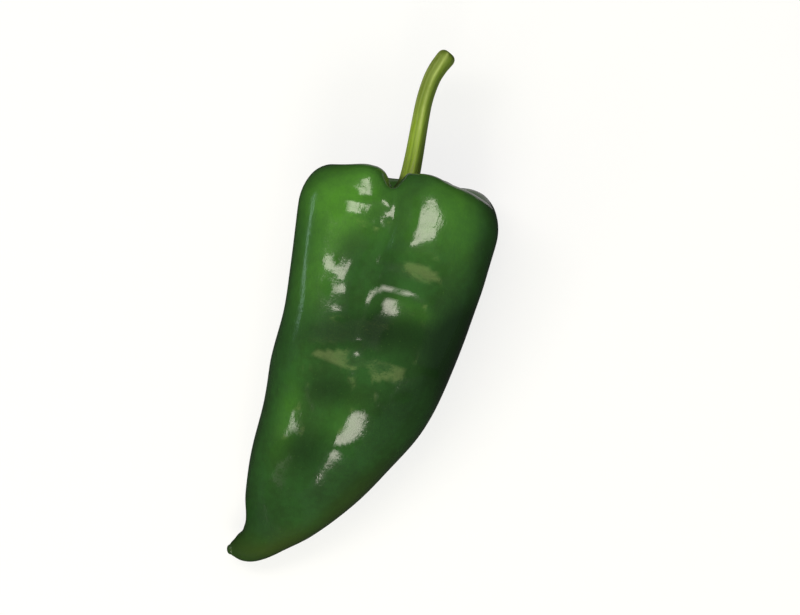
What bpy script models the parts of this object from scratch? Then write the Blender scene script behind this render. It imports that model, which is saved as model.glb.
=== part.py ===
"""A poblano pepper as picked, lying on its side: the pod, and its stem with the calyx.

Metres, +Z up. The pod runs along Y, from its tip at -Y to its crown at +Y. Two of its four lobes
face up, with the front groove between them. A low one lies at the right behind them, and the pod
rests on a small flat spot under the broad one at the back.
"""

import math

import bmesh
import bpy
from mathutils import Vector

MM = 0.001

# The middle of the whole pepper's box, in the coordinates of the tables below
BOX_MIDDLE = (-0.7, 10.3)

# The pod's midline from tip to rim, in mm: x, y, z, half width, half depth
POD_LINE = (
    (-18.9, -75.3, 9.6, 2.4, 2.3),
    (-16.4, -74.0, 10.2, 4.5, 4.1),
    (-13.1, -71.5, 11.2, 6.0, 5.5),
    (-10.4, -67.0, 12.3, 8.2, 7.4),
    (-8.1, -59.8, 14.0, 12.8, 10.8),
    (-4.7, -45.6, 17.1, 18.8, 15.6),
    (-1.3, -30.4, 19.9, 23.0, 19.6),
    (1.1, -15.0, 22.0, 27.2, 22.6),
    (2.1, 4.0, 23.7, 28.8, 24.6),
    (1.2, 22.0, 24.7, 30.7, 25.4),
    (-0.8, 42.0, 25.2, 32.5, 25.2),
)
RINGS_PER_STATION = 4
POD_SIDES = 64

# The dried end of the flower on the tip: mm past the first station, radius in mm
TIP_NUB = ((0.4, 2.0), (0.8, 1.6), (1.3, 1.55), (1.7, 1.0))
TIP_REACH = 1.9

# Lobes of the cross-section at the crown, in shares of the half width and depth:
# angle from +X towards +Z in degrees, offset of the lobe's middle, its radius
LOBES = (
    (38.0, 0.52, 0.57),
    (146.0, 0.52, 0.57),
    (-34.0, 0.45, 0.49),
    (-101.0, 0.27, 0.80),
)
# How sharply they meet, from the tip to the crown
JOIN_TIP, JOIN_CROWN = 7.0, 24.0
# They grow out between these distances from the tip in mm, and turn by this many degrees
LOBES_START, LOBES_FULL = 20.0, 115.0
TWIST_TIP, TWIST_CROWN = -14.0, 12.0

# The crown from the rim over the shoulder to the calyx: share of the rim's size, share of the height
CROWN_HEIGHT = 14.6
CROWN_LINE = (
    (1.0, 0.0),
    (0.985, 0.30),
    (0.92, 0.66),
    (0.80, 0.92),
    (0.66, 1.0),
    (0.53, 0.93),
    (0.43, 0.72),
    (0.36, 0.47),
    (0.31, 0.33),
    (0.20, 0.27),
    (0.07, 0.26),
)
RINGS_PER_CROWN_STEP = 2
RECESS_RADIUS = 27.0
ROUND_ABOVE, ROUND_BELOW = 0.72, 0.34
# How the shoulder rises over a lobe and dips in a groove: angle in degrees, mm, width in degrees
SHOULDER = (
    (80.0, 1.4, 14.0),
    (128.0, 0.6, 14.0),
    (165.0, -0.9, 20.0),
    (30.0, -2.0, 13.0),
    (-20.0, 0.2, 14.0),
    (-65.0, 1.6, 18.0),
    (-120.0, -2.0, 35.0),
    (97.0, 1.0, 6.0),
    (107.0, -8.6, 6.5),
    (204.0, -3.0, 18.0),
    (10.0, -2.5, 12.0),
    (-46.0, -1.5, 10.0),
)

# Swells and dents of the upper side, in mm: x, y, half length, half width, turn in degrees, height
RELIEF = (
    (-14.5, 54.5, 5.0, 4.0, 18.0, 1.1),
    (-7.8, 47.0, 6.5, 3.2, 100.0, 1.2),
    (6.3, 57.0, 4.5, 4.5, 0.0, 1.3),
    (0.5, 26.5, 4.0, 4.0, 0.0, 1.0),
    (-1.6, 18.5, 11.5, 3.2, 98.0, 1.9),
    (3.6, 13.5, 6.5, 7.5, 18.0, 1.2),
    (3.8, 21.5, 5.8, 4.5, 18.0, -0.6),
    (4.2, -0.6, 4.0, 4.0, 0.0, 0.5),
    (20.6, -1.4, 4.0, 4.0, 0.0, 0.8),
    (-3.6, -26.0, 16.0, 3.0, 81.0, -0.9),
)
# How far the two upper lobes rise and sink along their crests, in mm: y, x, half width, rise
LEFT_CREST = (
    (-66.0, -8.0, 7.0, 0.0),
    (-56.0, -7.5, 7.0, -1.0),
    (-47.5, -8.0, 7.0, -1.3),
    (-37.5, -8.0, 7.5, -1.6),
    (-29.0, -7.4, 7.5, -2.3),
    (-22.0, -6.9, 7.5, -2.5),
    (-15.0, -6.2, 8.0, -2.2),
    (-9.0, -6.8, 9.0, -1.5),
    (-2.0, -7.7, 9.0, -0.8),
    (2.5, -8.6, 9.0, -0.65),
    (8.0, -10.1, 9.0, -0.35),
    (12.0, -10.8, 9.0, -0.25),
    (19.5, -12.7, 9.0, -0.65),
    (24.0, -13.4, 9.0, -0.95),
    (31.0, -14.1, 9.0, -0.5),
    (37.5, -14.6, 9.0, -0.15),
    (43.0, -15.2, 9.0, 0.0),
)
RIGHT_CREST = (
    (-66.0, -4.0, 6.0, 0.0),
    (-57.0, -1.5, 6.0, -0.6),
    (-46.5, 0.5, 6.0, -0.3),
    (-41.0, 1.8, 7.0, 0.2),
    (-36.0, 2.4, 7.0, 0.3),
    (-31.0, 3.0, 7.0, 0.35),
    (-26.5, 3.6, 7.5, 0.45),
    (-20.5, 6.0, 8.5, 0.4),
    (-15.5, 9.0, 9.5, 0.3),
    (-7.5, 12.6, 10.0, 0.1),
    (-1.0, 13.8, 11.0, -0.2),
    (5.0, 14.5, 12.0, -0.5),
    (10.0, 14.2, 12.0, -0.8),
    (16.5, 14.9, 13.0, -1.4),
    (23.5, 13.9, 13.0, -1.3),
    (26.5, 13.6, 13.0, -0.7),
    (32.5, 12.4, 11.0, 0.1),
    (38.5, 11.0, 9.0, 0.5),
    (44.0, 9.6, 9.0, 0.2),
    (50.0, 8.0, 9.0, 0.0),
)
# All of these grow in between these heights over the midline, in mm
RELIEF_FROM, RELIEF_FULL = 3.0, 11.0

# Heights over the surface are eased to 0 within about this many mm, for the flat spot it rests on
FLAT_EASE = 0.8

# The stem's middle from the calyx to its cut end, in mm: x, y, z, radius
STEM_LINE = (
    (-1.7, 51.0, 25.6, 3.8),
    (-1.4, 54.5, 26.0, 3.2),
    (-2.1, 61.8, 27.0, 2.9),
    (-3.0, 68.4, 27.8, 2.75),
    (-3.9, 74.8, 28.5, 2.65),
    (-4.6, 81.2, 29.1, 2.6),
    (-4.5, 88.0, 29.6, 2.7),
    (-3.6, 92.3, 29.8, 2.85),
    (-2.3, 95.8, 29.9, 3.0),
)
RINGS_PER_STEM_STATION = 3
STEM_SIDES = 24
STEM_RIDGES, STEM_RIDGE_SHARE = 6, 0.05
# Its cut end: mm past the last station, share of the radius
STEM_END = ((0.9, 0.95), (1.7, 0.78), (2.2, 0.45))

# The calyx, from under it round its edge to the stem, in mm: radius, height over its underside
CALYX = (
    (2.8, 0.0),
    (5.1, 0.2),
    (6.7, 0.8),
    (7.3, 1.45),
    (6.9, 1.95),
    (5.9, 2.2),
    (5.1, 2.7),
    (4.5, 3.5),
)
CALYX_GAP = 0.4
CALYX_POINTS, CALYX_POINT_SHARE = 5, 0.06

# Linear colour, roughness
SKIN_FINISH = ((0.035, 0.11, 0.026), 0.22)
STEM_FINISH = ((0.26, 0.33, 0.10), 0.45)


def blend(low, high, value):
    """0 below low, 1 above high and an even curve between them."""
    share = min(1.0, max(0.0, (value - low) / (high - low)))
    return share * share * (3.0 - 2.0 * share)


def mix(first, second, share):
    return first + (second - first) * share


def hump(away, width):
    return math.exp(-((away / width) ** 2))


def smooth_line(rows, steps, measured=3):
    """Rows of a smooth curve through the given ones, with their distances along it.

    The first `measured` values of a row are its place, and each gap has `steps` steps.
    """
    along = [0.0]
    for row, after in zip(rows, rows[1:]):
        along.append(along[-1] + math.dist(row[:measured], after[:measured]))
    slopes = row_slopes(rows, along)
    made = []
    for index in range(len(rows) - 1):
        gap = along[index + 1] - along[index]
        for step in range(steps):
            made.append((along[index] + gap * step / steps, curve_row(rows, slopes, index, gap, step / steps)))
    made.append((along[-1], list(rows[-1])))
    return made


def row_slopes(rows, along):
    """How fast the values change at each row, from the rows before and after it."""
    slopes = []
    for index in range(len(rows)):
        low, high = max(index - 1, 0), min(index + 1, len(rows) - 1)
        slopes.append([(b - a) / (along[high] - along[low]) for a, b in zip(rows[low], rows[high])])
    return slopes


def curve_row(rows, slopes, index, gap, t):
    """The row at share t of the gap after rows[index], on a cubic with the given slopes."""
    from_start, from_end = (1 + 2 * t) * (1 - t) ** 2, t * t * (3 - 2 * t)
    start_pull, end_pull = t * (1 - t) ** 2 * gap, t * t * (t - 1) * gap
    ends = zip(rows[index], rows[index + 1], slopes[index], slopes[index + 1])
    return [from_start * a + from_end * b + start_pull * m + end_pull * n for a, b, m, n in ends]


def directions(places, index):
    """Along, side and up directions of the line of places at this index."""
    before, after = places[max(index - 1, 0)], places[min(index + 1, len(places) - 1)]
    along = (Vector(after) - Vector(before)).normalized()
    side = along.cross(Vector((0, 0, 1))).normalized()
    return along, side, side.cross(along)


def circle(sides, waves=0, wave_share=0.0):
    """Points of a circle of radius 1, with this many waves round it."""
    points = []
    for index in range(sides):
        angle = math.tau * index / sides
        radius = 1.0 + wave_share * math.cos(waves * angle)
        points.append((radius * math.cos(angle), radius * math.sin(angle)))
    return points


def ring(centre, side, up, shape, half_width, half_depth):
    return [centre + side * (x * half_width) + up * (z * half_depth) for x, z in shape]


def lobed_section(grown):
    """The pod's cross-section, as points that reach 1 to the left, right, top and bottom.

    The lobes are fully grown at 1, and there are none at 0.
    """
    join = mix(JOIN_TIP, JOIN_CROWN, grown**2)
    twist = mix(TWIST_TIP, TWIST_CROWN, grown)
    points = []
    for x, z in circle(POD_SIDES):
        angle = math.atan2(z, x)
        total = 0.0
        for lobe_angle, offset, size in LOBES:
            turned = angle - math.radians(lobe_angle + twist)
            moved = offset * grown
            lobe_radius = offset + size - moved
            reach = moved * math.cos(turned) + math.sqrt(lobe_radius**2 - (moved * math.sin(turned)) ** 2)
            total += reach**join
        radius = total ** (1.0 / join)
        points.append((x * radius, z * radius))
    middles, halves = [], []
    for values in zip(*points):
        middles.append((max(values) + min(values)) / 2)
        halves.append((max(values) - min(values)) / 2)
    return [((x - middles[0]) / halves[0], (z - middles[1]) / halves[1]) for x, z in points]


def crest_rise(rows, point):
    """The rise that a lobe's crest, given by its rows, adds at this point."""
    if not rows[0][0] < point.y < rows[-1][0]:
        return 0.0
    along = [row[0] for row in rows]
    index = sum(y <= point.y for y in along) - 1
    gap = along[index + 1] - along[index]
    share = (point.y - along[index]) / gap
    _, x, half_width, rise = curve_row(rows, row_slopes(rows, along), index, gap, share)
    return rise * hump(point.x - x, half_width)


def shaped(point, centre, up):
    """The point with the upper side's relief and the flat spot under the pod."""
    height = crest_rise(LEFT_CREST, point) + crest_rise(RIGHT_CREST, point)
    for x, y, half_length, half_width, turn, reach in RELIEF:
        cosine, sine = math.cos(math.radians(turn)), math.sin(math.radians(turn))
        along = (point.x - x) * cosine + (point.y - y) * sine
        across = (point.y - y) * cosine - (point.x - x) * sine
        height += reach * hump(along, half_length) * hump(across, half_width)
    outward = point - centre
    height *= blend(RELIEF_FROM, RELIEF_FULL, outward.dot(up))
    moved = point + outward.normalized() * height
    above = max(moved.z, 0.0)
    return Vector((moved.x, moved.y, above * above / (above + FLAT_EASE)))


def shoulder_rise(angle):
    """How far the shoulder rises at this angle, in mm."""
    rise = 0.0
    for middle, reach, width in SHOULDER:
        away = (math.degrees(angle) - middle + 180.0) % 360.0 - 180.0
        rise += reach * hump(away, width)
    return rise


def crown_rings(centre, along, side, up, rim, half_width, half_depth):
    """Rings over the shoulder and down into the seat of the calyx."""
    rings = []
    for _, (share, height) in smooth_line(CROWN_LINE, RINGS_PER_CROWN_STEP, measured=2)[1:]:
        roundness = 1.0 - blend(ROUND_BELOW, ROUND_ABOVE, share)
        over = math.sin(math.pi * blend(1.0, ROUND_BELOW, share))
        points = []
        for (x, z), (round_x, round_z) in zip(rim, circle(POD_SIDES)):
            across = mix(x * half_width, round_x * RECESS_RADIUS, roundness) * share
            upward = mix(z * half_depth, round_z * RECESS_RADIUS, roundness) * share
            onward = height * CROWN_HEIGHT + over * shoulder_rise(math.atan2(round_z, round_x))
            points.append(centre + side * across + up * upward + along * onward)
        rings.append(points)
    return rings


def skin_over(name, rings, first_point, last_point, finish):
    """A closed body over rings of points in mm, with a point at each end."""
    mesh = bmesh.new()

    def corner(point):
        return mesh.verts.new(((point.x - BOX_MIDDLE[0]) * MM, (point.y - BOX_MIDDLE[1]) * MM, point.z * MM))

    loops = [[corner(point) for point in points] for points in rings]
    first, last = corner(first_point), corner(last_point)
    sides = len(rings[0])
    for side in range(sides):
        after = (side + 1) % sides
        mesh.faces.new((first, loops[0][after], loops[0][side]))
        for low, high in zip(loops, loops[1:]):
            mesh.faces.new((low[side], low[after], high[after], high[side]))
        mesh.faces.new((last, loops[-1][side], loops[-1][after]))
    bmesh.ops.recalc_face_normals(mesh, faces=mesh.faces)
    data = bpy.data.meshes.new(name)
    mesh.to_mesh(data)
    mesh.free()
    data.shade_smooth()
    data.materials.append(finished(name, *finish))
    body = bpy.data.objects.new(name, data)
    bpy.context.collection.objects.link(body)


def finished(name, colour, roughness):
    material = bpy.data.materials.new(name + "_finish")
    material.use_nodes = True
    shader = material.node_tree.nodes["Principled BSDF"]
    shader.inputs["Base Color"].default_value = (*colour, 1.0)
    shader.inputs["Roughness"].default_value = roughness
    return material


def make_pod():
    """The pod from the nub on its tip to the seat of the calyx, and the place of its rim."""
    line = smooth_line(POD_LINE, RINGS_PER_STATION)
    places = [row[:3] for _, row in line]
    along, side, up = directions(places, 0)
    tip = Vector(places[0])
    rings = [ring(tip - along * past, side, up, circle(POD_SIDES), radius, radius) for past, radius in TIP_NUB]
    rings.reverse()
    nub_end = tip - along * TIP_REACH
    for index, (distance, (x, y, z, half_width, half_depth)) in enumerate(line):
        along, side, up = directions(places, index)
        centre = Vector((x, y, z))
        section = lobed_section(blend(LOBES_START, LOBES_FULL, distance))
        rings.append(ring(centre, side, up, section, half_width, half_depth))
        rings[-1] = [shaped(point, centre, up) for point in rings[-1]]
    crown = crown_rings(centre, along, side, up, section, half_width, half_depth)
    rings += [[shaped(point, centre, up) for point in points] for points in crown]
    seat = sum(crown[-1], Vector()) / POD_SIDES
    skin_over("pod", rings, nub_end, seat, SKIN_FINISH)
    return seat, along, side, up


def make_stem(seat, along, side, up):
    """The calyx just over its seat, and the stem that it grows from."""
    base = seat + along * CALYX_GAP
    points = circle(STEM_SIDES, CALYX_POINTS, CALYX_POINT_SHARE)
    rings = [ring(base + along * height, side, up, points, radius, radius) for radius, height in CALYX]
    top_radius, top_height = CALYX[-1]
    line = smooth_line(((*(base + along * top_height), top_radius), *STEM_LINE), RINGS_PER_STEM_STATION)
    places = [row[:3] for _, row in line]
    ridged = circle(STEM_SIDES, STEM_RIDGES, STEM_RIDGE_SHARE)
    for index, (_, (x, y, z, radius)) in list(enumerate(line))[1:]:
        along, side, up = directions(places, index)
        rings.append(ring(Vector((x, y, z)), side, up, ridged, radius, radius))
    for past, share in STEM_END:
        rings.append(ring(Vector((x, y, z)) + along * past, side, up, ridged, radius * share, radius * share))
    end = sum(rings[-1], Vector()) / STEM_SIDES
    skin_over("stem_and_calyx", rings, base, end, STEM_FINISH)


def clear_scene():
    for thing in list(bpy.data.objects):
        bpy.data.objects.remove(thing)


clear_scene()
make_stem(*make_pod())
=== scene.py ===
# A poblano pepper lying on a pale table, seen from straight above
import math

import bpy
import numpy as np
from mathutils import Matrix, Vector


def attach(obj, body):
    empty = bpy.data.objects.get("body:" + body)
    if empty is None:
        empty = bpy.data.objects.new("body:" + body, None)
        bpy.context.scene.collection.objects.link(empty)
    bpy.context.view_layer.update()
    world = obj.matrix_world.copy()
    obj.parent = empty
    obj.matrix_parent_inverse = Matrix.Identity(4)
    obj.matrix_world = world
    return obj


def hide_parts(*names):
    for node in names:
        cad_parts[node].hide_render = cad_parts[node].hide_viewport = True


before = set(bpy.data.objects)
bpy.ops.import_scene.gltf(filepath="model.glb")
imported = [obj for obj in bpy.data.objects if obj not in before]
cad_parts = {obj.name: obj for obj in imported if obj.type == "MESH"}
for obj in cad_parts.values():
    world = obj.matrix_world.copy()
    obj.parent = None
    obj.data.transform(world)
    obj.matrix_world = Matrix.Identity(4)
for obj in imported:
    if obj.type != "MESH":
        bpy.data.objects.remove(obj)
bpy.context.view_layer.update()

mm = 0.001
pictureTurn = 18.0  # degrees that the picture is turned against the pod's own length

print("stage 1: camera, lights and table")

cameraPlan = {
    "looksAt": (9.1, 5.4, 25.0),  # mm, at the height of the pod's widest outline
    "distance": 1.5,  # metres
    "viewWidth": 0.256,  # metres that the picture's width takes in at that height
    "sensor": 36.0,  # mm
}

# Each softbox is placed by the slope of skin that mirrors it to the camera: right and up in the picture
softboxes = {
    "mainSoftbox": {"slope": (-0.13, 0.157), "size": (0.84, 0.32), "glow": 9.5, "tint": (1.0, 0.93, 0.83)},
    "lowSoftbox": {"slope": (-0.04, -0.385), "size": (0.58, 0.38), "glow": 9.0, "tint": (1.0, 0.93, 0.83)},
    "leftSoftbox": {"slope": (-0.43, -0.31), "size": (0.22, 0.20), "glow": 7.5, "tint": (1.0, 0.96, 0.86)},
    "warmCard": {"slope": (-0.155, -0.175), "size": (1.61, 0.34), "glow": 2.0, "tint": (0.92, 1.0, 0.35)},
}
softboxDistance = 1.2  # metres

# What lights the air, and the darker air that the skin mirrors
airPlan = {"lights": (0.25, 0.27, 0.28), "mirrored": (0.07, 0.08, 0.085)}

tablePlan = {
    "size": 6.0,  # metres
    "white": (1.0, 1.0, 1.0),  # as the camera sees it
    "paper": (0.9, 0.9, 0.9),  # what takes the shadow
    "shadowShare": 0.25,  # how much of its light the table takes from the lamps, so how strong the shadow is
    "mirrored": 0.035,  # how bright the skin mirrors it
}


def onPicture(right, up):
    turn = math.radians(pictureTurn)
    return (right * math.cos(turn) - up * math.sin(turn), right * math.sin(turn) + up * math.cos(turn))


def deselectAll():
    if bpy.context.object and bpy.context.object.mode != "OBJECT":
        bpy.ops.object.mode_set(mode="OBJECT")
    bpy.ops.object.select_all(action="DESELECT")


def activate(piece):
    deselectAll()
    piece.select_set(True)
    bpy.context.view_layer.objects.active = piece


def makeCamera():
    bpy.ops.object.camera_add(rotation=(0.0, 0.0, math.radians(pictureTurn)))
    camera = bpy.context.object
    x, y, z = (value * mm for value in cameraPlan["looksAt"])
    camera.location = (x, y, z + cameraPlan["distance"])
    camera.data.sensor_width = cameraPlan["sensor"]
    camera.data.lens = cameraPlan["sensor"] * cameraPlan["distance"] / cameraPlan["viewWidth"]
    bpy.context.scene.camera = camera


def makeSoftbox(name, plan):
    right, up = plan["slope"]
    normal = Vector((*onPicture(right, up), 1.0)).normalized()
    direction = 2.0 * normal.z * normal - Vector((0.0, 0.0, 1.0))
    bpy.ops.object.light_add(type="AREA", location=direction * softboxDistance)
    lamp = bpy.context.object
    lamp.name = name
    across = Vector((*onPicture(1.0, 0.0), 0.0))
    across = (across - across.dot(direction) * direction).normalized()
    lamp.rotation_euler = Matrix((across, direction.cross(across), direction)).transposed().to_euler()
    lamp.data.shape = "RECTANGLE"
    lamp.data.size, lamp.data.size_y = plan["size"]
    lamp.data.energy = plan["glow"] * math.pi * plan["size"][0] * plan["size"][1]
    lamp.data.color = plan["tint"]


def makeWorld():
    world = bpy.data.worlds.new("studioAir")
    bpy.context.scene.world = world
    world.use_nodes = True
    nodes, links = world.node_tree.nodes, world.node_tree.links
    air = nodes["Background"]
    air.inputs["Color"].default_value = (*airPlan["lights"], 1.0)
    mirrored = nodes.new("ShaderNodeBackground")
    mirrored.inputs["Color"].default_value = (*airPlan["mirrored"], 1.0)
    seen = nodes.new("ShaderNodeLightPath")
    pick = nodes.new("ShaderNodeMixShader")
    links.new(seen.outputs["Is Glossy Ray"], pick.inputs["Fac"])
    links.new(air.outputs["Background"], pick.inputs[1])
    links.new(mirrored.outputs["Background"], pick.inputs[2])
    links.new(pick.outputs["Shader"], nodes["World Output"].inputs["Surface"])


def makeTable():
    bpy.ops.mesh.primitive_plane_add(size=tablePlan["size"])
    table = bpy.context.object
    table.name = "paleTable"
    material = bpy.data.materials.new("tablePaper")
    material.use_nodes = True
    nodes, links = material.node_tree.nodes, material.node_tree.links
    nodes.clear()
    output = nodes.new("ShaderNodeOutputMaterial")
    seen = nodes.new("ShaderNodeLightPath")
    pick = nodes.new("ShaderNodeMixShader")
    camera = nodes.new("ShaderNodeMixShader")
    camera.inputs["Fac"].default_value = tablePlan["shadowShare"]
    glow = nodes.new("ShaderNodeEmission")
    glow.inputs["Color"].default_value = (*tablePlan["white"], 1.0)
    paper = nodes.new("ShaderNodeBsdfDiffuse")
    paper.inputs["Color"].default_value = (*tablePlan["paper"], 1.0)
    dim = nodes.new("ShaderNodeEmission")
    dim.inputs["Color"].default_value = (*tablePlan["white"], 1.0)
    dim.inputs["Strength"].default_value = tablePlan["mirrored"]
    links.new(glow.outputs["Emission"], camera.inputs[1])
    links.new(paper.outputs["BSDF"], camera.inputs[2])
    links.new(seen.outputs["Is Camera Ray"], pick.inputs["Fac"])
    links.new(dim.outputs["Emission"], pick.inputs[1])
    links.new(camera.outputs["Shader"], pick.inputs[2])
    links.new(pick.outputs["Shader"], output.inputs["Surface"])
    table.data.materials.append(material)


# Cards that only the skin mirrors: middle and size in mm, turn in degrees about X, Y and Z
glowCards = {
    "sideStrip": {"middle": (-215.0, 0.0, 69.0), "size": (22.0, 94.0), "turn": (0.0, 90.0, 0.0), "glow": 3.0,
                  "tint": (0.72, 1.0, 0.98)},
    "crownCard": {"middle": (2.0, 74.0, 0.4), "size": (60.0, 40.0), "turn": (0.0, 0.0, 0.0), "glow": 0.4,
                  "tint": (1.0, 0.97, 0.92)},
    "shoulderCard": {"middle": (26.0, 74.0, 0.6), "size": (26.0, 34.0), "turn": (0.0, 0.0, 0.0), "glow": 0.6,
                     "tint": (1.0, 0.93, 0.95)},
}


def makeGlowCard(name, plan):
    bpy.ops.mesh.primitive_plane_add(size=1.0, location=[value * mm for value in plan["middle"]],
                                     rotation=[math.radians(value) for value in plan["turn"]])
    card = bpy.context.object
    card.name = name
    card.scale = (plan["size"][0] * mm, plan["size"][1] * mm, 1.0)
    material = bpy.data.materials.new(name + "Glow")
    material.use_nodes = True
    nodes, links = material.node_tree.nodes, material.node_tree.links
    nodes.clear()
    glow = nodes.new("ShaderNodeEmission")
    glow.inputs["Color"].default_value = (*plan["tint"], 1.0)
    glow.inputs["Strength"].default_value = plan["glow"]
    output = nodes.new("ShaderNodeOutputMaterial")
    links.new(glow.outputs["Emission"], output.inputs["Surface"])
    card.data.materials.append(material)
    card.visible_camera = False
    card.visible_shadow = False
    card.visible_diffuse = False


bpy.context.scene.view_settings.view_transform = "Standard"
makeCamera()
for softboxName, softboxPlan in softboxes.items():
    makeSoftbox(softboxName, softboxPlan)
makeWorld()
makeTable()
for cardName, cardPlan in glowCards.items():
    makeGlowCard(cardName, cardPlan)

print("stage 2: node groups for the finishes")


def newGroup(name, inputs, outputs):
    group = bpy.data.node_groups.new(name, "ShaderNodeTree")
    for socketName, kind, value in inputs:
        socket = group.interface.new_socket(socketName, in_out="INPUT", socket_type=kind)
        if value is not None:
            socket.default_value = value
    for socketName, kind in outputs:
        group.interface.new_socket(socketName, in_out="OUTPUT", socket_type=kind)
    start = group.nodes.new("NodeGroupInput")
    end = group.nodes.new("NodeGroupOutput")
    return group, start, end


def addNode(tree, kind, settings=None, values=None):
    node = tree.nodes.new(kind)
    for key, value in (settings or {}).items():
        setattr(node, key, value)
    for key, value in (values or {}).items():
        node.inputs[key].default_value = value
    return node


def mathNode(tree, operation, first, second, clamp=False):
    node = addNode(tree, "ShaderNodeMath", {"operation": operation, "use_clamp": clamp})
    for index, value in enumerate((first, second)):
        if isinstance(value, (int, float)):
            node.inputs[index].default_value = value
        else:
            tree.links.new(value, node.inputs[index])
    return node.outputs[0]


def rangeNode(tree, value, fromLow, fromHigh, toLow, toHigh):
    node = addNode(tree, "ShaderNodeMapRange", {"interpolation_type": "SMOOTHSTEP"})
    limits = {"From Min": fromLow, "From Max": fromHigh, "To Min": toLow, "To Max": toHigh}
    for key, number in limits.items():
        node.inputs[key].default_value = number
    tree.links.new(value, node.inputs["Value"])
    return node.outputs["Result"]


def mixColours(tree, share, first, second):
    # Sockets 0, 6 and 7 are the share and the two colours, and output 2 the mixed colour
    node = addNode(tree, "ShaderNodeMix", {"data_type": "RGBA"})
    for key, value in ((0, share), (6, first), (7, second)):
        if isinstance(value, (int, float)):
            node.inputs[key].default_value = value
        elif isinstance(value, tuple):
            node.inputs[key].default_value = (*value, 1.0)
        else:
            tree.links.new(value, node.inputs[key])
    return node.outputs[2]


patterns = {
    "sizeShares": (0.7, 0.3),  # of the large and the small blotches
    "mottleNoise": (0.35, 0.65),  # the noise that gives 0 and 1
    "streakNoise": (0.3, 0.7),
    "speckEdge": 0.12,  # softness of a speck's edge
    "speckless": 0.55,  # share of the cells without a speck
}


def makeMottleGroup():
    # Soft blotches of two sizes, from 0 to 1
    group, start, end = newGroup(
        "mottle",
        [("Vector", "NodeSocketVector", None), ("Large", "NodeSocketFloat", 60.0),
         ("Small", "NodeSocketFloat", 400.0)],
        [("Mask", "NodeSocketFloat")],
    )
    large = addNode(group, "ShaderNodeTexNoise", values={"Detail": 3.0, "Roughness": 0.55})
    small = addNode(group, "ShaderNodeTexNoise", values={"Detail": 2.0, "Roughness": 0.5})
    for node, scale in ((large, "Large"), (small, "Small")):
        group.links.new(start.outputs["Vector"], node.inputs["Vector"])
        group.links.new(start.outputs[scale], node.inputs["Scale"])
    largeShare, smallShare = patterns["sizeShares"]
    both = mathNode(group, "ADD", mathNode(group, "MULTIPLY", large.outputs["Fac"], largeShare),
                    mathNode(group, "MULTIPLY", small.outputs["Fac"], smallShare))
    group.links.new(rangeNode(group, both, *patterns["mottleNoise"], 0.0, 1.0), end.inputs["Mask"])
    return group


def makeStreakGroup():
    # Fine lines along a piece's length, from 0 to 1
    group, start, end = newGroup(
        "streaks",
        [("Vector", "NodeSocketVector", None), ("Across", "NodeSocketFloat", 900.0),
         ("Along", "NodeSocketFloat", 60.0)],
        [("Mask", "NodeSocketFloat")],
    )
    spread = addNode(group, "ShaderNodeCombineXYZ")
    for axis, source in (("X", "Across"), ("Y", "Along"), ("Z", "Across")):
        group.links.new(start.outputs[source], spread.inputs[axis])
    scaled = addNode(group, "ShaderNodeVectorMath", {"operation": "MULTIPLY"})
    group.links.new(start.outputs["Vector"], scaled.inputs[0])
    group.links.new(spread.outputs["Vector"], scaled.inputs[1])
    noise = addNode(group, "ShaderNodeTexNoise", values={"Scale": 1.0, "Detail": 2.0, "Roughness": 0.55})
    group.links.new(scaled.outputs["Vector"], noise.inputs["Vector"])
    mask = rangeNode(group, noise.outputs["Fac"], *patterns["streakNoise"], 0.0, 1.0)
    group.links.new(mask, end.inputs["Mask"])
    return group


def makeSpeckGroup():
    # Tiny round pale specks, 1 in a speck and 0 between them
    group, start, end = newGroup(
        "specks",
        [("Vector", "NodeSocketVector", None), ("Scale", "NodeSocketFloat", 900.0),
         ("Size", "NodeSocketFloat", 0.2)],
        [("Mask", "NodeSocketFloat")],
    )
    cells = addNode(group, "ShaderNodeTexVoronoi", {"feature": "F1"})
    group.links.new(start.outputs["Vector"], cells.inputs["Vector"])
    group.links.new(start.outputs["Scale"], cells.inputs["Scale"])
    inside = mathNode(group, "SUBTRACT", start.outputs["Size"], cells.outputs["Distance"])
    dot = rangeNode(group, inside, 0.0, patterns["speckEdge"], 0.0, 1.0)
    chance = addNode(group, "ShaderNodeSeparateColor")
    group.links.new(cells.outputs["Color"], chance.inputs["Color"])
    some = mathNode(group, "GREATER_THAN", chance.outputs["Red"], patterns["speckless"])
    group.links.new(mathNode(group, "MULTIPLY", dot, some), end.inputs["Mask"])
    return group


finishGroups = {"mottle": makeMottleGroup(), "streaks": makeStreakGroup(), "specks": makeSpeckGroup()}


def placeGroup(tree, name, vector, values):
    node = addNode(tree, "ShaderNodeGroup", {"node_tree": finishGroups[name]}, values)
    tree.links.new(vector, node.inputs["Vector"])
    return node.outputs["Mask"]


def newFinish(name):
    material = bpy.data.materials.new(name)
    material.use_nodes = True
    tree = material.node_tree
    return material, tree, tree.nodes["Principled BSDF"]


def objectPlaces(tree):
    return addNode(tree, "ShaderNodeTexCoord").outputs["Object"]


print("stage 3: the pod's skin")

skin = {
    "levels": 2,
    "mergeWithin": 0.02,  # mm
    "reliefFrom": 0.05,  # the relief grows in between these upward shares of the skin's normal
    "reliefFull": 0.45,
    "tonesFrom": -0.4,  # and the painted light, painted shade and olive tones between these
    "tonesFull": 0.3,
    "creaseEnds": 0.2,  # share of a crease's length in which it fades out at each end
    "creaseRound": 0.28,  # mm, how round the bottom of a crease is
    "creaseRoundSquared": 0.08,
    "stepEnds": 0.25,  # as creaseEnds, for a step
    "dullEdge": 0.3,  # mm, half the width of a dull band's soft edge
}

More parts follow.
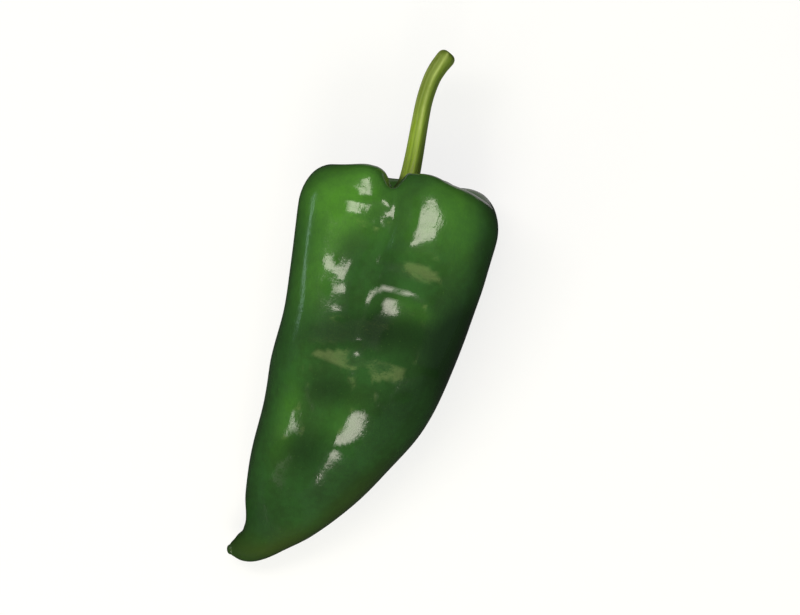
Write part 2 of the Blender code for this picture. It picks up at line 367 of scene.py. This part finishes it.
# Small swells and dents of the upper side, in mm: x, y, half length, half width, turn in degrees, height
skinBumps = (
    (-12.4, 43.3, 3.2, 2.9, 18.0, 0.65),
    (-12.2, 29.3, 3.8, 1.9, -7.0, 0.30),
    (-5.9, 27.6, 1.9, 1.9, 18.0, 0.60),
    (-4.3, 35.2, 2.2, 1.6, 103.0, 0.60),
    (-3.3, 31.1, 2.6, 1.6, 93.0, 0.80),
    (-3.3, 26.8, 1.9, 1.3, 88.0, 0.60),
    (-9.0, 4.0, 2.6, 2.9, 18.0, 0.40),
    (-9.0, -2.3, 2.6, 1.9, 18.0, 0.35),
    (7.8, 42.5, 3.8, 3.8, 18.0, 0.30),
    (2.4, 32.0, 8.3, 3.2, 100.0, 0.10),
    (5.6, 24.3, 2.9, 2.6, 18.0, 0.40),
    (-2.2, 3.9, 1.3, 2.9, 18.0, 0.40),
    (9.0, 1.5, 2.6, 2.6, 18.0, 0.35),
    (6.7, 10.5, 2.6, 2.6, 18.0, -0.15),
    (16.9, 10.1, 2.6, 2.9, 18.0, 0.50),
    (21.9, -12.5, 2.9, 3.2, 18.0, 0.60),
    (11.3, -28.4, 3.2, 3.2, 18.0, 0.50),
    (0.8, -38.5, 3.8, 2.9, 108.0, 0.35),
    (1.3, -57.6, 3.8, 3.8, 18.0, 0.50),
    (-13.4, -36.4, 2.9, 2.9, 18.0, 0.40),
    (-12.2, -45.1, 2.9, 2.9, 18.0, -0.35),
    (-10.9, -58.5, 2.6, 2.6, 18.0, -0.20),
    (0.7, -14.0, 1.4, 1.4, 18.0, 0.44),
    (0.8, -16.7, 1.4, 1.4, 18.0, 0.48),
    (1.2, -20.2, 1.5, 1.4, 18.0, 0.50),
    (0.0, -9.2, 1.0, 1.0, 18.0, 0.26),
)

# Creases and small ridges: points in mm, half width, height
skinCreases = (
    (((-4.3, 27.8), (-4.7, 21.9), (-5.8, 15.9), (-5.6, 8.2), (-3.5, 0.5), (-1.0, -7.2), (0.7, -12.3),
      (1.1, -18.9), (1.0, -25.7)), 2.2, -0.4),
    (((-20.2, 10.5), (-14.2, 9.7), (-11.0, 8.1), (-9.5, 13.0), (-6.5, 11.9)), 1.3, 0.3),
)

# Steps: points in mm from left to right, softness, how far the step's lower side reaches, height
skinSteps = (
    (((-23.0, 33.8), (-17.0, 33.8), (-11.2, 34.6), (-6.1, 37.6)), 0.8, 4.0, -0.4),
    (((2.1, 24.8), (6.9, 27.7), (11.1, 30.1), (15.5, 32.2)), 1.8, 12.0, 0.4),
    (((-11.1, 15.8), (-4.8, 16.9), (1.6, 17.9), (6.9, 18.3), (12.3, 18.4), (18.3, 18.3)), 1.4, 6.0, -0.25),
    (((3.6, 9.8), (7.4, 10.5), (10.8, 10.5), (14.0, 9.8), (17.1, 8.7), (20.9, 6.3)), 1.25, 4.0, 0.5),
    (((5.6, -15.1), (12.3, -14.9), (18.4, -15.0), (25.2, -15.1)), 2.4, 12.0, 0.4),
    (((-10.4, -15.6), (-5.6, -13.7), (-1.4, -12.0), (2.8, -10.6)), 1.2, 6.0, -0.15),
    (((-16.6, -19.3), (-12.1, -17.5), (-6.9, -15.8)), 0.8, 8.0, -0.15),
    (((-16.2, -22.5), (-8.2, -19.2), (-0.2, -18.0)), 0.8, 8.0, -0.12),
    (((-0.2, -36.5), (4.7, -32.9), (9.3, -30.4)), 1.4, 8.0, -0.35),
)

# Painted light and painted shade of the upper side, and its olive tip, in mm: x, y, half length, half width,
# turn, strength
# Painted light: lighter, yellower green where the light falls on the lobes
paintedLightPatches = (
    (-20.0, 31.0, 13.0, 11.0, 0.0, 1.0),
    (-12.0, 42.0, 10.0, 6.0, 0.0, 0.6),
    (-19.0, 10.0, 17.0, 7.0, 90.0, 0.55),
    (11.0, 35.0, 12.0, 10.0, 60.0, 0.6),
    (8.0, 5.0, 8.0, 5.0, 0.0, 0.4),
    (-14.0, -40.0, 13.0, 4.0, 95.0, 0.5),
    (14.0, 45.0, 9.0, 5.0, -20.0, 0.5),
    (3.0, -35.0, 8.0, 6.0, 40.0, 0.25),
    (22.5, 30.0, 13.0, 5.0, 95.0, 0.25),
    (17.2, 5.2, 4.0, 3.0, 0.0, 0.35),
    (3.7, -26.0, 5.0, 4.0, 0.0, 0.10),
    (-1.5, -77.0, 7.0, 4.0, 35.0, 0.12),
)
# Painted shade: darker patches in the valleys and on the right flank
paintedShadePatches = (
    (4.0, -4.0, 22.0, 7.0, 12.0, 0.8),
    (-12.6, -10.9, 8.0, 4.0, 12.0, 0.3),
    (3.0, 8.0, 18.0, 4.0, 95.0, 0.45),
    (22.0, -14.0, 22.0, 12.0, 100.0, 0.4),
    (-4.0, -26.0, 10.0, 5.0, 10.0, 0.7),
    (-6.0, -47.0, 8.0, 7.0, 0.0, 0.7),
    (-11.8, 17.9, 5.0, 6.0, 0.0, 0.35),
    (-9.0, -64.0, 20.0, 12.0, 35.0, 0.35),
    (15.0, -27.0, 16.0, 8.0, 60.0, 0.4),
    (32.5, 8.0, 22.0, 6.0, 94.0, 0.6),
    (29.0, -2.0, 14.0, 6.0, 98.0, 0.9),
    (29.0, 33.0, 8.0, 3.5, 100.0, 0.35),
    (-25.0, 22.0, 6.0, 7.0, 0.0, 0.2),
    (-12.5, -73.0, 6.0, 5.0, 0.0, 0.25),
    (-21.7, -18.9, 6.0, 3.0, 100.0, 0.25),
    (-17.0, -84.0, 9.0, 7.0, 0.0, 0.45),
)
# The olive tip, and a painted reflection as an olive band along the lower right edge
oliveTipAndReflectionPatches = (
    (13.0, -61.0, 24.0, 4.5, 58.0, 0.8),
    (-6.0, -82.0, 9.0, 3.0, 25.0, 0.7),
    (-1.5, -77.0, 7.0, 4.0, 35.0, 0.5),
    (-17.0, -84.0, 8.0, 6.0, 0.0, 0.7),
)

# Where the skin is duller, as in the groove, in mm: x, y, half length, half width, turn, strength
dullPatches = (
    (-18.6, 35.4, 3.5, 1.6, 18.0, 1.00),
    (-19.9, 30.4, 3.5, 5.1, 18.0, 1.00),
    (-13.2, -50.6, 3.8, 3.2, 18.0, 1.00),
    (14.4, -1.7, 5.1, 5.8, 33.0, 1.00),
    (-8.7, -47.0, 2.9, 5.4, 28.0, 1.00),
    (-7.6, 25.1, 2.2, 2.2, 18.0, 1.00),
    (16.4, 14.6, 3.2, 1.6, 38.0, 1.00),
    (7.8, -25.4, 2.9, 1.9, 18.0, 1.00),
    (2.0, -32.0, 2.6, 1.9, 18.0, 1.00),
    (15.8, 6.1, 1.6, 3.8, 38.0, 1.00),
    (7.3, -43.4, 2.9, 1.9, -2.0, 1.00),
    (2.1, -49.1, 6.4, 2.9, -37.0, 0.35),
    (6.9, -27.7, 4.5, 2.2, 18.0, 1.00),
    (-14.6, -33.5, 2.6, 3.2, 18.0, 1.00),
    (-13.4, -81.6, 5.8, 3.5, 18.0, 1.00),
    (-18.5, -72.4, 2.9, 4.5, 18.0, 1.00),
    (-1.5, -20.2, 1.9, 2.2, 18.0, 1.00),
    (13.0, -24.1, 2.6, 1.9, 18.0, 1.00),
    (-7.0, -28.0, 3.5, 5.1, 18.0, 1.00),
    (18.5, -21.6, 3.2, 1.9, 18.0, 1.00),
    (-14.2, 34.2, 1.0, 1.0, 18.0, 1.00),
    (-9.3, 37.5, 1.6, 1.9, 18.0, 1.00),
    (-16.2, 35.2, 2.2, 1.6, 18.0, 1.00),
    (-14.4, -18.4, 2.2, 5.1, 18.0, 1.00),
    (10.8, -8.1, 4.5, 3.2, -12.0, 1.00),
    (5.3, -20.6, 2.9, 5.1, 18.0, 1.00),
    (1.2, -34.9, 2.2, 3.2, 18.0, 1.00),
    (-12.1, -47.9, 3.2, 2.6, 18.0, 1.00),
    (11.1, -28.4, 2.9, 2.6, 18.0, 1.00),
    (-2.4, 14.1, 3.2, 2.9, 98.0, 1.00),
    (-15.1, 4.3, 2.2, 3.8, 18.0, 1.00),
    (-14.5, 13.5, 1.1, 1.8, 18.0, 1.00),
    (15.3, 3.6, 2.2, 1.6, 18.0, 1.00),
    (0.4, -24.2, 2.6, 3.5, 18.0, 1.00),
    (10.2, -27.6, 2.6, 1.9, 18.0, 1.00),
    (-13.0, -29.3, 1.9, 4.5, 18.0, 1.00),
    (13.1, -21.3, 3.2, 2.2, 48.0, 1.00),
    (18.9, -13.5, 2.6, 1.6, 18.0, 1.00),
    (-5.4, -68.1, 5.8, 6.4, 18.0, 1.00),
    (-7.5, -3.8, 2.6, 1.3, 18.0, 1.00),
    (9.8, -0.8, 2.9, 1.9, 18.0, 1.00),
    (-11.6, -55.8, 5.1, 9.6, 18.0, 0.90),
    (-11.2, -64.6, 2.6, 6.4, 18.0, 1.00),
    (1.9, 3.6, 2.2, 3.2, 18.0, 1.00),
    (-1.3, 10.8, 2.2, 2.2, 18.0, 1.00),
    (-8.4, -36.2, 1.9, 6.1, 26.0, 1.00),
)

linePieces = 8  # straight pieces between two points of a crease, step, band or stem

# Duller bands: points in mm, half width
dullBands = (
    (((0.8, -0.1), (0.7, 3.7), (1.9, 6.6), (4.9, 8.2), (8.7, 8.6), (11.6, 7.9), (14.2, 5.9)), 1.5),
    (((-3.2, 1.9), (-3.2, 5.9), (-2.0, 8.9), (0.7, 11.0), (4.9, 12.3), (8.8, 12.6), (12.9, 12.1),
      (18.0, 10.6)), 1.5),
    (((-3.3, 25.1), (-4.0, 20.2), (-5.0, 15.9), (-5.4, 11.2), (-5.0, 6.0), (-3.7, -0.2)), 2.6),
    (((-19.1, 32.8), (-14.3, 34.3), (-8.2, 36.3)), 1.0),
    (((-0.0, 19.2), (4.8, 20.7), (9.7, 22.0), (14.4, 21.8), (18.5, 20.2)), 1.9),
    (((2.6, 13.1), (7.9, 13.1), (13.1, 13.5), (18.8, 14.3)), 2.1),
    (((-16.7, -21.8), (-12.1, -19.4), (-8.2, -19.0), (-3.9, -19.9)), 1.8),
    (((-16.6, -26.5), (-11.3, -24.0), (-6.4, -22.7), (-1.7, -22.9)), 2.6),
    (((2.3, -28.9), (5.5, -24.5), (8.6, -21.8), (13.2, -19.3)), 2.2),
    (((8.5, -4.9), (12.3, -6.6), (16.2, -8.4)), 2.6),
    (((1.2, -44.0), (6.2, -42.1), (10.2, -39.1)), 1.0),
    (((1.1, -38.7), (-0.1, -44.5), (-1.5, -50.4), (-2.6, -57.5)), 1.6),
    (((-15.4, -15.4), (-8.1, -13.2), (0.1, -10.0)), 1.3),
    (((4.0, -11.7), (8.4, -10.9), (13.7, -10.8), (19.2, -11.4), (25.8, -11.3)), 1.6),
    (((3.7, 39.3), (4.6, 35.6), (5.2, 31.8), (4.5, 27.6)), 1.4),
    (((-2.9, -25.3), (-3.4, -32.1), (-4.0, -38.4), (-4.6, -44.0), (-5.2, -49.6), (-5.2, -57.8)), 3.5),
)


def eased(low, high, value):
    share = np.clip((value - low) / (high - low), 0.0, 1.0)
    return share * share * (3.0 - 2.0 * share)


def onPatch(x, y, middleX, middleY, halfLength, halfWidth, turn):
    # Places along and across a patch, in its half length and half width
    cosine, sine = math.cos(math.radians(turn)), math.sin(math.radians(turn))
    along = (x - middleX) * cosine + (y - middleY) * sine
    across = (y - middleY) * cosine - (x - middleX) * sine
    return along / halfLength, across / halfWidth


def spotsAt(x, y, table):
    total = np.zeros(len(x))
    for *patch, strength in table:
        along, across = onPatch(x, y, *patch)
        total += strength * np.exp(-(along**2) - across**2)
    return total


def smoothLine(points):
    # The same line with rounded corners, through all of its points
    corners = [np.array(point) for point in points]
    corners = [2 * corners[0] - corners[1]] + corners + [2 * corners[-1] - corners[-2]]
    line = []
    for before, start, end, after in zip(corners, corners[1:], corners[2:], corners[3:]):
        for t in np.arange(linePieces) / linePieces:
            bend = 2 * before - 5 * start + 4 * end - after
            twist = 3 * start - before - 3 * end + after
            line.append(0.5 * (2 * start + (end - before) * t + bend * t * t + twist * t**3))
    line.append(corners[-2])
    return line


def besideLine(x, y, points):
    # Distance to the line, share of the line's length, and the side: 1 on the right as it is drawn
    line = smoothLine(points)
    lengths = [0.0]
    for start, end in zip(line, line[1:]):
        lengths.append(lengths[-1] + math.dist(start, end))
    nearest, share, side = np.full(len(x), np.inf), np.zeros(len(x)), np.ones(len(x))
    for index, ((x0, y0), (x1, y1)) in enumerate(zip(line, line[1:])):
        dx, dy = x1 - x0, y1 - y0
        t = np.clip(((x - x0) * dx + (y - y0) * dy) / (dx * dx + dy * dy), 0.0, 1.0)
        away = np.hypot(x - x0 - t * dx, y - y0 - t * dy)
        closer = away < nearest
        nearest = np.where(closer, away, nearest)
        side = np.where(closer, np.sign((x - x0) * dy - (y - y0) * dx), side)
        reached = lengths[index] + t * (lengths[index + 1] - lengths[index])
        share = np.where(closer, reached / lengths[-1], share)
    return nearest, share, side


def creasesAt(x, y):
    total = np.zeros(len(x))
    for points, halfWidth, height in skinCreases:
        nearest, share, _ = besideLine(x, y, points)
        ends = eased(0.0, skin["creaseEnds"], np.minimum(share, 1.0 - share))
        away = np.sqrt(nearest**2 + skin["creaseRoundSquared"]) - skin["creaseRound"]
        total += height * ends * np.exp(-away / halfWidth)
    return total


def stepsAt(x, y):
    total = np.zeros(len(x))
    for points, softness, reach, height in skinSteps:
        nearest, share, side = besideLine(x, y, points)
        ends = eased(0.0, skin["stepEnds"], np.minimum(share, 1.0 - share))
        across = nearest * side
        fall = np.exp(-(np.maximum(across, 0.0) / reach) ** 2)
        total += height * ends * fall * 0.5 * (1.0 + np.tanh(across / softness))
    return total


def dullAt(x, y):
    # A patch is fully dull up to 0.8 of its size, and has faded out at 1.2
    total = np.zeros(len(x))
    for *patch, strength in dullPatches:
        away = np.hypot(*onPatch(x, y, *patch))
        total = np.maximum(total, strength * np.clip(3.0 - 2.5 * away, 0.0, 1.0))
    for points, halfWidth in dullBands:
        nearest, _, _ = besideLine(x, y, points)
        edge = eased(halfWidth - skin["dullEdge"], halfWidth + skin["dullEdge"], nearest)
        total = np.maximum(total, 1.0 - edge)
    return total


def meshPoints(piece):
    points = np.zeros(len(piece.data.vertices) * 3)
    piece.data.vertices.foreach_get("co", points)
    return points.reshape(-1, 3) / mm


def meshNormals(piece):
    normals = np.zeros(len(piece.data.vertices) * 3)
    piece.data.vertex_normals.foreach_get("vector", normals)
    return normals.reshape(-1, 3)


def copyOfNode(node, name):
    piece = bpy.data.objects.new(name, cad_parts[node].data.copy())
    bpy.context.scene.collection.objects.link(piece)
    piece.data.name = name
    piece.data.materials.clear()
    activate(piece)
    bpy.ops.mesh.customdata_custom_splitnormals_clear()
    bpy.ops.object.mode_set(mode="EDIT")
    bpy.ops.mesh.select_all(action="SELECT")
    bpy.ops.mesh.remove_doubles(threshold=skin["mergeWithin"] * mm)
    bpy.ops.mesh.tris_convert_to_quads()
    bpy.ops.object.mode_set(mode="OBJECT")
    bpy.ops.object.shade_smooth()
    return piece


def subdivide(piece, levels):
    activate(piece)
    smoother = piece.modifiers.new("smoother", "SUBSURF")
    smoother.levels = levels
    smoother.render_levels = levels
    bpy.ops.object.modifier_apply(modifier=smoother.name)


def makeSkin():
    piece = copyOfNode("pod", "podSkin")
    subdivide(piece, skin["levels"])
    points, normals = meshPoints(piece), meshNormals(piece)
    x, y = points[:, 0], points[:, 1]
    upward = eased(skin["reliefFrom"], skin["reliefFull"], normals[:, 2])
    points[:, 2] += upward * (spotsAt(x, y, skinBumps) + creasesAt(x, y) + stepsAt(x, y))
    piece.data.vertices.foreach_set("co", (points * mm).ravel())
    toned = eased(skin["tonesFrom"], skin["tonesFull"], normals[:, 2])
    tones = np.ones((len(points), 4))
    # Red is painted light, green painted shade, blue the olive tip with a painted reflection
    for channel, table in enumerate((paintedLightPatches, paintedShadePatches, oliveTipAndReflectionPatches)):
        tones[:, channel] = np.clip(spotsAt(x, y, table) * toned, 0.0, 1.0)
    tones[:, 3] = 1.0 - dullAt(x, y) * upward
    layer = piece.data.attributes.new("tones", "FLOAT_COLOR", "POINT")
    layer.data.foreach_set("color", tones.ravel())
    piece.data.update()
    return piece


podSkin = makeSkin()
print("pod skin:", len(podSkin.data.polygons), "faces")

skinFinish = {
    "green": (0.021, 0.060, 0.015),
    "paintedLight": (0.060, 0.196, 0.022),
    "paintedShade": (0.009, 0.027, 0.008),
    "oliveAndReflection": (0.040, 0.074, 0.014),
    "fresh": (0.026, 0.090, 0.021),
    "speck": (0.09, 0.20, 0.04),
    "speckShare": 0.18,
    "uneven": (0.35, 0.8),  # what the fine pattern adds to the painted light, and what it leaves of it
    "roughness": (0.45, 0.60),
    "shine": 0.04,
    "coatRoughness": 0.16,
    "waxIor": 1.4,
    "ripple": 0.0001,  # metres
    "rippleStrength": 0.4,
    "blotches": {"Large": 70.0, "Small": 420.0},  # the sizes of the patterns are counts in a metre
    "fine": {"Large": 260.0, "Small": 1500.0},
    "streaks": {"Across": 700.0, "Along": 90.0},
    "ripples": {"Large": 420.0, "Small": 1100.0},
    "specks": {"Scale": 620.0, "Size": 0.16},
}


def makeSkinFinish():
    material, tree, shader = newFinish("poblanoSkin")
    places = objectPlaces(tree)
    tones = addNode(tree, "ShaderNodeAttribute", {"attribute_name": "tones"})
    parts = addNode(tree, "ShaderNodeSeparateColor")
    tree.links.new(tones.outputs["Color"], parts.inputs["Color"])
    blotches = placeGroup(tree, "mottle", places, skinFinish["blotches"])
    fine = placeGroup(tree, "mottle", places, skinFinish["fine"])
    streaks = placeGroup(tree, "streaks", places, skinFinish["streaks"])
    ripples = placeGroup(tree, "mottle", places, skinFinish["ripples"])
    specks = placeGroup(tree, "specks", places, skinFinish["specks"])
    colour = mixColours(tree, blotches, skinFinish["green"], skinFinish["fresh"])
    added, left = skinFinish["uneven"]
    uneven = mathNode(tree, "ADD", mathNode(tree, "MULTIPLY", fine, added), left)
    # Painted light, the olive tip with its painted reflection, and painted shade are mixed into the colour
    paintedLight = mathNode(tree, "MULTIPLY", parts.outputs["Red"], uneven, clamp=True)
    colour = mixColours(tree, paintedLight, colour, skinFinish["paintedLight"])
    colour = mixColours(tree, parts.outputs["Blue"], colour, skinFinish["oliveAndReflection"])
    colour = mixColours(tree, parts.outputs["Green"], colour, skinFinish["paintedShade"])
    speckled = mathNode(tree, "MULTIPLY", specks, skinFinish["speckShare"])
    colour = mixColours(tree, speckled, colour, skinFinish["speck"])
    tree.links.new(colour, shader.inputs["Base Color"])
    low, high = skinFinish["roughness"]
    tree.links.new(rangeNode(tree, fine, 0.0, 1.0, low, high), shader.inputs["Roughness"])
    shader.inputs["Specular IOR Level"].default_value = skinFinish["shine"]
    tree.links.new(tones.outputs["Alpha"], shader.inputs["Coat Weight"])
    shader.inputs["Coat Roughness"].default_value = skinFinish["coatRoughness"]
    shader.inputs["IOR"].default_value = skinFinish["waxIor"]
    ripple = mathNode(tree, "ADD", mathNode(tree, "MULTIPLY", streaks, 0.5),
                      mathNode(tree, "MULTIPLY", ripples, 0.5))
    bump = addNode(tree, "ShaderNodeBump", values={"Strength": skinFinish["rippleStrength"],
                                                   "Distance": skinFinish["ripple"]})
    tree.links.new(ripple, bump.inputs["Height"])
    tree.links.new(bump.outputs["Normal"], shader.inputs["Normal"])
    tree.links.new(bump.outputs["Normal"], shader.inputs["Coat Normal"])
    return material


podSkin.data.materials.append(makeSkinFinish())
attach(podSkin, "root")
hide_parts("pod")

print("stage 4: the stem and its calyx")

stem = {
    "levels": 2,
    "line": ((-1.0, 38.0), (-0.7, 44.2), (-1.4, 51.5), (-2.3, 58.1), (-3.2, 64.5), (-3.9, 70.9), (-3.8, 77.7),
             (-2.9, 82.0), (-1.6, 87.5)),
    "radius": 2.8,  # mm
    "calyxUpTo": (43.5, 46.5),  # mm along Y, where the calyx passes into the stem
    "streaks": ((0.08, 0.13, 1.0), (-0.85, 0.12, 0.6)),  # painted highlights along the stem: place and half width in radii, strength
    "furrow": (-0.3, 0.1, 0.7),  # the same, for a thin dark line mixed in with the painted shade
    "paintedShadeFrom": (0.25, 0.42),  # painted shade: the right side darkens between these
    "freshUpTo": (0.75, 0.3),  # shares of the length where the fresh green of the foot ends
}


def stripeAt(aside, place, halfWidth, strength):
    return strength * np.exp(-(((aside - place) / halfWidth) ** 2))


def makeStem():
    piece = copyOfNode("stem_and_calyx", "stemAndCalyx")
    subdivide(piece, stem["levels"])
    points = meshPoints(piece)
    x, y = points[:, 0], points[:, 1]
    nearest, share, side = besideLine(x, y, stem["line"])
    aside = nearest * side / stem["radius"]
    tones = np.ones((len(points), 4))
    # Red is the painted highlights, green the painted shade with a dark line, blue the fresh foot, alpha the
    # calyx
    tones[:, 0] = sum(stripeAt(aside, *paintedHighlight) for paintedHighlight in stem["streaks"])
    tones[:, 1] = eased(*stem["paintedShadeFrom"], aside) + stripeAt(aside, *stem["furrow"])
    tones[:, 2] = eased(*stem["freshUpTo"], share)
    tones[:, 3] = eased(stem["calyxUpTo"][1], stem["calyxUpTo"][0], y)
    layer = piece.data.attributes.new("tones", "FLOAT_COLOR", "POINT")
    layer.data.foreach_set("color", np.clip(tones, 0.0, 1.0).ravel())
    return piece


stemAndCalyx = makeStem()
print("stem and calyx:", len(stemAndCalyx.data.polygons), "faces")

stemFinish = {
    "green": (0.142, 0.205, 0.020),
    "fresh": (0.245, 0.385, 0.022),
    "paintedHighlight": (0.330, 0.420, 0.120),
    "paintedShade": (0.105, 0.170, 0.018),
    "calyx": (0.055, 0.100, 0.020),
    "pale": (0.330, 0.380, 0.160),
    "paleShare": 0.3,
    "uneven": (0.6, 0.4),  # what the blotches add to a painted highlight, and what they leave of it
    "paintedShadeShare": 0.85,
    "roughness": (0.42, 0.58),
    "shine": 0.15,
    "ridge": 0.0002,  # metres
    "ridgeStrength": 0.4,
    "lines": {"Across": 1400.0, "Along": 60.0},
    "blotches": {"Large": 160.0, "Small": 900.0},
}


def makeStemFinish():
    material, tree, shader = newFinish("stemGreen")
    places = objectPlaces(tree)
    tones = addNode(tree, "ShaderNodeAttribute", {"attribute_name": "tones"})
    parts = addNode(tree, "ShaderNodeSeparateColor")
    tree.links.new(tones.outputs["Color"], parts.inputs["Color"])
    lines = placeGroup(tree, "streaks", places, stemFinish["lines"])
    blotches = placeGroup(tree, "mottle", places, stemFinish["blotches"])
    colour = mixColours(tree, parts.outputs["Blue"], stemFinish["green"], stemFinish["fresh"])
    pale = mathNode(tree, "MULTIPLY", lines, stemFinish["paleShare"])
    colour = mixColours(tree, pale, colour, stemFinish["pale"])
    added, left = stemFinish["uneven"]
    uneven = mathNode(tree, "ADD", mathNode(tree, "MULTIPLY", blotches, added), left)
    # Painted shade on the right side, then the painted highlights
    paintedShade = mathNode(tree, "MULTIPLY", parts.outputs["Green"], stemFinish["paintedShadeShare"])
    colour = mixColours(tree, paintedShade, colour, stemFinish["paintedShade"])
    paintedHighlightShare = mathNode(tree, "MULTIPLY", parts.outputs["Red"], uneven)
    colour = mixColours(tree, paintedHighlightShare, colour, stemFinish["paintedHighlight"])
    colour = mixColours(tree, tones.outputs["Alpha"], colour, stemFinish["calyx"])
    tree.links.new(colour, shader.inputs["Base Color"])
    low, high = stemFinish["roughness"]
    tree.links.new(rangeNode(tree, blotches, 0.0, 1.0, low, high), shader.inputs["Roughness"])
    shader.inputs["Specular IOR Level"].default_value = stemFinish["shine"]
    bump = addNode(tree, "ShaderNodeBump", values={"Strength": stemFinish["ridgeStrength"],
                                                   "Distance": stemFinish["ridge"]})
    tree.links.new(lines, bump.inputs["Height"])
    tree.links.new(bump.outputs["Normal"], shader.inputs["Normal"])
    return material


stemAndCalyx.data.materials.append(makeStemFinish())
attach(stemAndCalyx, "root")
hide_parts("stem_and_calyx")

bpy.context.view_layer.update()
deselectAll()
